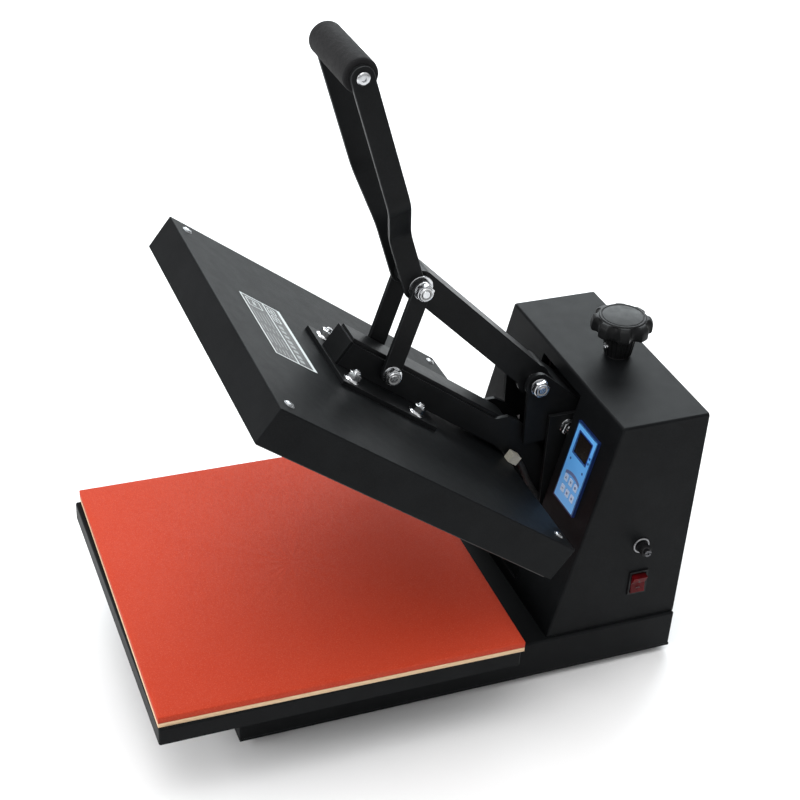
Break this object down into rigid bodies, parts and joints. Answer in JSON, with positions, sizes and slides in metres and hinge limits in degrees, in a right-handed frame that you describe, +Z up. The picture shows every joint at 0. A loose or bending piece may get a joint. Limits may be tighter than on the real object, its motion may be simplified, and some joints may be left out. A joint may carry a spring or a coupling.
{
  "type": "heat press",
  "caption": "Clamshell heat press with a raised hot platen, padded lower platen, toggle handle and pressure knob.",
  "frame": {"origin": "centre of the footprint of the press as it stands open, on the underside of its rubber feet", "axes": "+X to the user's right, +Y to the rear, +Z up"},
  "size_m": [0.387, 0.602, 0.7097],
  "materials": {
    "black_steel": "satin powder coat",
    "zinc": "bright zinc plate",
    "ground_steel": "ground",
    "rubber": "matte",
    "silicone_red": "matte, fine pores",
    "silicone_white": "matte",
    "bronze": "satin",
    "black_plastic": "gloss",
    "panel_blue": "satin film",
    "window_dark": "gloss",
    "key_white": "satin film",
    "board_green": "satin",
    "relay_plastic": "matte",
    "wire": "woven sleeve",
    "coated_alloy": "dark non-stick coat on machined alloy",
    "mineral_board": "matte",
    "sticker": "printed film",
    "rocker_red": "translucent gloss"
  },
  "bodies": {
    "base": {"base_plate": "black_steel", "base_frame": "black_steel", "rubber_feet": "rubber", "tray_rails": "black_steel", "lower_platen": "black_steel", "pad_underlay": "silicone_white", "silicone_pad": "silicone_red", "column_housing": "black_steel", "rear_cover": "black_steel", "rear_screws": "zinc", "mast_frame": "black_steel", "mast_bolts": "zinc", "hinge_shaft": "ground_steel", "guide_bolt": "zinc", "screw_bushing": "black_steel", "power_inlet": "black_plastic", "fuse_holder": "black_plastic", "switch_housing": "black_plastic", "control_bezel": "panel_blue", "display_window": "window_dark", "controller_board": "board_green", "solid_state_relay": "relay_plastic", "internal_wiring": "wire"},
    "yoke": {"pressure_yoke": "black_steel", "arm_pivot_bolt": "zinc"},
    "knob": {"pressure_knob": "black_plastic", "pressure_screw": "ground_steel"},
    "handle": {"upper_arm": "black_steel", "handle_bar_right": "black_steel", "handle_bar_left": "black_steel", "grip_tube": "zinc", "foam_grip": "rubber", "grip_screws": "zinc", "toggle_pin": "zinc"},
    "links": {"toggle_link_right": "black_steel", "toggle_link_left": "black_steel", "link_bolt": "zinc", "toggle_nuts": "zinc"},
    "platen": {"lower_arm": "black_steel", "arm_cheeks": "black_steel", "hinge_bushes": "bronze", "platen_bracket": "black_steel", "platen_bolts": "zinc", "upper_cover": "black_steel", "cover_screws": "zinc", "cover_label": "sticker", "insulation_board": "mineral_board", "heater_element": "ground_steel", "heat_platen": "coated_alloy", "thermocouple": "ground_steel", "lead_gland": "mineral_board", "heater_lead": "wire"},
    "power_rocker": {"rocker": "rocker_red"},
    "fuse_plug": {"fuse_cap": "black_plastic"},
    "panel_key_1": {"key_1": "key_white"},
    "panel_key_2": {"key_2": "key_white"},
    "panel_key_3": {"key_3": "key_white"},
    "panel_key_4": {"key_4": "key_white"},
    "panel_key_5": {"key_5": "key_white"},
    "panel_key_6": {"key_6": "key_white"}
  },
  "joints": [
    {"name": "platen_hinge", "type": "hinge", "parent": "base", "child": "platen", "pos_m": [0, 0.205, 0.1285], "axis": [1, 0, 0], "range_deg": [0, 36.25]},
    {"name": "handle_pivot", "type": "hinge", "parent": "yoke", "child": "handle", "pos_m": [0, 0.1555, 0.3155], "axis": [1, 0, 0], "range_deg": [0, 70.6]},
    {"name": "link_pivot", "type": "hinge", "parent": "platen", "child": "links", "pos_m": [0, -0.01266, 0.35878], "axis": [-1, 0, 0], "range_deg": [0, 83.1]},
    {"name": "pressure_slide", "type": "slide", "parent": "base", "child": "yoke", "axis": [0, 0, 1], "range_m": [-0.005, 0.005]},
    {"name": "knob_turn", "type": "hinge", "parent": "base", "child": "knob", "pos_m": [0, 0.263, 0.3195], "axis": [0, 0, 1], "range_deg": [-900, 900]},
    {"name": "key_1_press", "type": "slide", "parent": "base", "child": "panel_key_1", "axis": [0, 0.9778, -0.2097], "range_m": [0, 0.0005], "stiffness_N_per_m": 400, "springref_m": -0.0008},
    {"name": "key_2_press", "type": "slide", "parent": "base", "child": "panel_key_2", "axis": [0, 0.9778, -0.2097], "range_m": [0, 0.0005], "stiffness_N_per_m": 400, "springref_m": -0.0008},
    {"name": "key_3_press", "type": "slide", "parent": "base", "child": "panel_key_3", "axis": [0, 0.9778, -0.2097], "range_m": [0, 0.0005], "stiffness_N_per_m": 400, "springref_m": -0.0008},
    {"name": "key_4_press", "type": "slide", "parent": "base", "child": "panel_key_4", "axis": [0, 0.9778, -0.2097], "range_m": [0, 0.0005], "stiffness_N_per_m": 400, "springref_m": -0.0008},
    {"name": "key_5_press", "type": "slide", "parent": "base", "child": "panel_key_5", "axis": [0, 0.9778, -0.2097], "range_m": [0, 0.0005], "stiffness_N_per_m": 400, "springref_m": -0.0008},
    {"name": "key_6_press", "type": "slide", "parent": "base", "child": "panel_key_6", "axis": [0, 0.9778, -0.2097], "range_m": [0, 0.0005], "stiffness_N_per_m": 400, "springref_m": -0.0008},
    {"name": "rocker_turn", "type": "hinge", "parent": "base", "child": "power_rocker", "pos_m": [0.1295, 0.248, 0.11], "axis": [0, -1, 0], "range_deg": [0, 18]},
    {"name": "fuse_cap_turn", "type": "hinge", "parent": "base", "child": "fuse_plug", "pos_m": [0.1325, 0.245, 0.161], "axis": [1, 0, 0], "range_deg": [0, 60]}
  ],
  "couplings": [
    {"joint": "handle_pivot", "follows": "platen_hinge", "ratio": 1.9475},
    {"joint": "link_pivot", "follows": "platen_hinge", "ratio": 2.2917},
    {"joint": "knob_turn", "follows": "pressure_slide", "rad_per_m": 3141.6}
  ]
}
